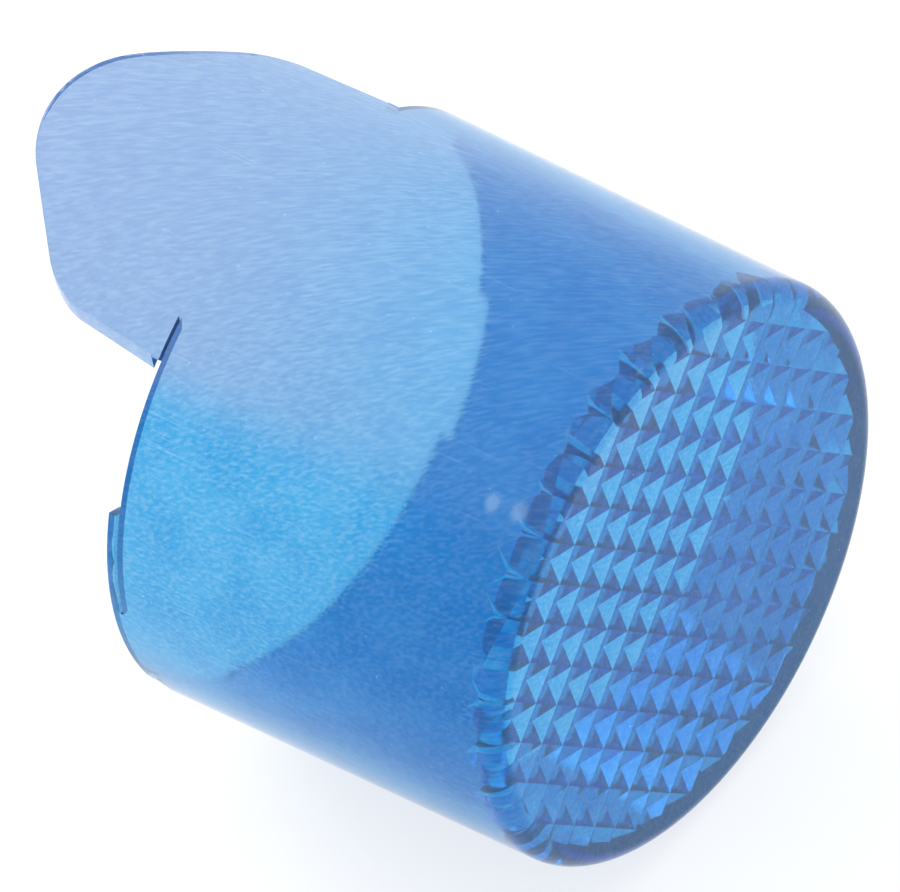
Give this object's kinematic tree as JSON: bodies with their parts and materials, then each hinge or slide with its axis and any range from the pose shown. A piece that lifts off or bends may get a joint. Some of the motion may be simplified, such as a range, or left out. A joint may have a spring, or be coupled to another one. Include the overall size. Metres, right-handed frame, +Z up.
{
  "type": "prismatic indicator lamp lens cap",
  "caption": "Push-on see-through blue lens cap: a thin tapered tube with a prismatic closed end, a shallow notched rim and a rounded tongue past it.",
  "frame": {"origin": "middle of the floor of the bounding box, with the cap lying on its side", "axes": "+X along the tube's axis, out of the lens face; +Z up, through the middle of the tongue; +Y across"},
  "size_m": [0.0284, 0.025, 0.0252],
  "materials": {
    "shell": "clear blue moulded plastic, glossy, with fine dust and scratches",
    "prism_lens": "clear blue moulded plastic, glossy, prismatic inside"
  },
  "bodies": {
    "root": {"shell": "shell", "prism_lens": "prism_lens"}
  },
  "joints": []
}
